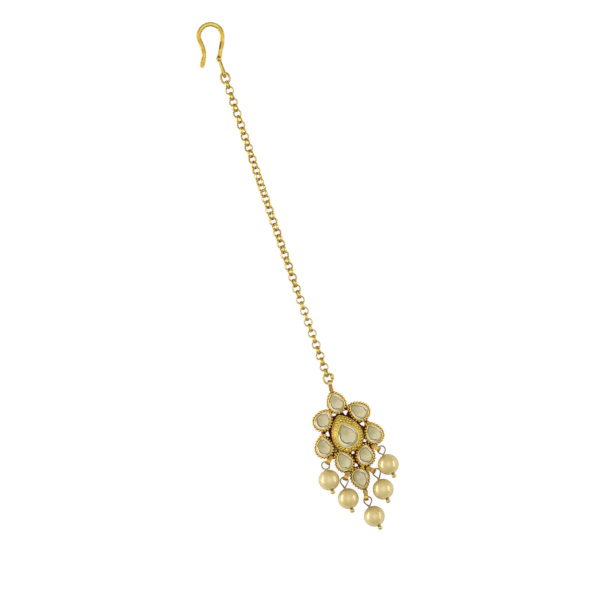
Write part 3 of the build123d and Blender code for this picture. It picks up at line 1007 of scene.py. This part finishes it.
def wire_eye(bm):
    """Eye of thinner wire, both of its ends running straight up into the kink."""
    eye_way = EYE_END - HOOK_KINK
    u_way = -eye_way.normalized()
    eye_normal = Matrix.Rotation(radians(EYE_ROLL), 3, u_way) @ UP.cross(eye_way).normalized()
    v_way = eye_normal.cross(u_way)
    touch = acos(EYE_R / eye_way.length)
    contact = EYE_END + (u_way * cos(touch) + v_way * sin(touch)) * EYE_R
    mirror = EYE_END + (u_way * cos(touch) - v_way * sin(touch)) * EYE_R
    way = (contact - HOOK_KINK).normalized()
    geometry = wire_end(bm, HOOK_KINK, way, eye_normal, EYE_WIRE_R, 16, 2.2)
    bmesh.ops.contextual_create(bm, geom=edges_of(geometry))
    geometry = draw_on(bm, geometry, contact - HOOK_KINK, 10)
    turned = bmesh.ops.spin(bm, geom=geometry, cent=EYE_END, axis=eye_normal, steps=26,
                            angle=2 * (pi - touch), use_duplicate=False)
    geometry = draw_on(bm, turned["geom_last"], HOOK_KINK - mirror, 10)
    bmesh.ops.contextual_create(bm, geom=edges_of(geometry))


def hook():
    """Forged hair hook, its eye soldered on at the kink, with streaks of painted shade beside the
    shank.
    """
    bm = bmesh.new()
    forged_bend(bm)
    bead(bm, HOOK_KINK + HOOK_SOLDER, 0.76, (1.0, 1.2, 0.9), 4)
    wire_eye(bm)
    close(bm)
    recess = bm.verts.layers.float.new("recess")
    for vert in bm.verts:
        seen = vert.co - HOOK_KINK
        # painted shade: a streak along the shank's inner side, and one just above the solder
        shank = soft_step(seen.y, 2.2, 3.2) * (1 - soft_step(seen.y, 4.4, 5.6))
        inner = 1 - soft_step(seen.x - 0.47 * seen.y, -0.35, 0.1)
        bound = 1 - soft_step(abs(seen.y - 0.75), 0.3, 0.8)
        streak = 0.9 * shank * inner + 0.62 * bound * (seen.x < 0.3)
        vert[recess] = streak * (seen.x > -2)
        vert.co += noise.noise_vector(vert.co * 0.55) * 0.07
    # Painted shade on the hook's sides and undersides.
    mark_shaded_sides(bm, HOOK_SIDE_SHADE)
    return piece("hook_wire", bm, hook_gold, ["hook"], 50.0)


# ---------------------------------------------------------------- everything is made
glass = foil_glass()
nacre = pearl_lustre()
wire = drawn_wire()

pierced_sheet()
petal_cups()
petal_grains()
collar()
collar_grains()
drilled_tabs("drop_tabs", DROP_LOOPS, solder_gold)
drilled_tabs("bail", ["bail"], solder_gold, 0.0)
frame_beads()
for name, place in places.items():
    cut_stone(name, PETAL_PEAR, place, *PETAL_STONE_Z)
cut_stone("centre", CENTRE_PEAR, centre_place, *CENTRE_STONE_Z)
for number in range(1, 6):
    pearl(number)
    drop_pin(number)
chain_links()
ring("ring_top", "jump_ring_top")
ring("ring_bottom", "jump_ring_bottom", RING_SOLDER)
hook()


# ---------------------------------------------------------------- camera, lamps and floor
scene = bpy.context.scene
scene.view_settings.view_transform = "Standard"
middle = (cad_low + cad_high) / 2
look = Vector((middle.x + VIEW_SHIFT[0] * MM, middle.y + VIEW_SHIFT[1] * MM, AXIS_Z * MM))
image_right = Vector((cos(radians(ROLL)), -sin(radians(ROLL)), 0))
image_up = Vector((sin(radians(ROLL)), cos(radians(ROLL)), 0))

camera_data = bpy.data.cameras.new("camera")
camera_data.sensor_width = 36.0
camera_data.lens = 36.0 * CAMERA_HEIGHT / FIELD
camera = bpy.data.objects.new("camera", camera_data)
camera.location = look + UP * CAMERA_HEIGHT * MM
camera.rotation_euler = (0, 0, radians(-ROLL))
scene.collection.objects.link(camera)
scene.camera = camera


def softbox(name, right, up, height, width, depth, power):
    """Large soft lamp, placed in metres from the middle of the view, facing it."""
    data = bpy.data.lights.new(name, "AREA")
    data.shape = "RECTANGLE"
    data.size = width
    data.size_y = depth
    data.energy = power
    lamp = bpy.data.objects.new(name, data)
    lamp.location = look + image_right * right + image_up * up + UP * height
    lamp.rotation_euler = (look - lamp.location).to_track_quat("-Z", "Y").to_euler()
    scene.collection.objects.link(lamp)


softbox("softbox_left", -0.8, 0.0, 0.2, 0.9, 0.34, 3.4)
softbox("softbox_right", 0.75, 0.1, 0.3, 0.7, 0.25, 1.8)
softbox("softbox_top", 0.1, 0.1, 1.6, 1.4, 1.4, 4.6)


def studio():
    """Pale room: white where it is seen, in bands of light and shade where it is reflected."""
    world = bpy.data.worlds.new("studio")
    scene.world = world
    world.use_nodes = True
    s = Shader(world.node_tree)
    way = s.add("ShaderNodeTexCoord", output="Generated")
    parts = s.add("ShaderNodeSeparateXYZ", {}, {0: way})
    height = Value(s, parts.socket.node.outputs["Z"])
    across = parts * image_right.x + Value(s, parts.socket.node.outputs["Y"]) * image_right.y
    side = s.step(across.math("ABSOLUTE", across), 0.4, 0.95)
    over = s.step(height, 0.3, 0.95)
    level = 0.3 + side * 0.15 + over * 0.35
    seen = s.add("ShaderNodeLightPath", output="Is Camera Ray")
    strength = level * (1 - seen) + seen
    light = s.add("ShaderNodeBackground", {}, {"Color": (1, 1, 1, 1), "Strength": strength})
    s.add("ShaderNodeOutputWorld", {}, {"Surface": light})


def floor():
    """Pale floor that keeps the shadow."""
    bm = bmesh.new()
    bmesh.ops.create_grid(bm, x_segments=1, y_segments=1, size=3.0,
                          matrix=Matrix.Translation((look.x, look.y, -0.0001)))
    mesh = bpy.data.meshes.new("floor")
    bm.to_mesh(mesh)
    bm.free()
    material, s = finish("pale_floor")
    grain = s.noise(0.02, 3.0)
    paint = s.mix(grain, (0.88, 0.88, 0.87), (0.92, 0.92, 0.91))
    dull = s.add("ShaderNodeBsdfDiffuse", {}, {"Color": paint})
    faint = s.add("ShaderNodeBsdfDiffuse", {}, {"Color": (0.14, 0.14, 0.14, 1)})
    glow = s.add("ShaderNodeEmission", {}, {"Color": (1, 1, 1, 1), "Strength": 0.9})
    shown = s.add("ShaderNodeAddShader", {}, {0: faint, 1: glow})
    path = s.add("ShaderNodeLightPath", output="Is Camera Ray")
    clear = Value(s, path.socket.node.outputs["Is Transmission Ray"])
    seen = path.math("MAXIMUM", path, clear)
    both = s.add("ShaderNodeMixShader", {}, {0: seen, 1: dull, 2: shown})
    s.add("ShaderNodeOutputMaterial", {}, {"Surface": both})
    mesh.materials.append(material)
    obj = bpy.data.objects.new("floor", mesh)
    scene.collection.objects.link(obj)


studio()
floor()
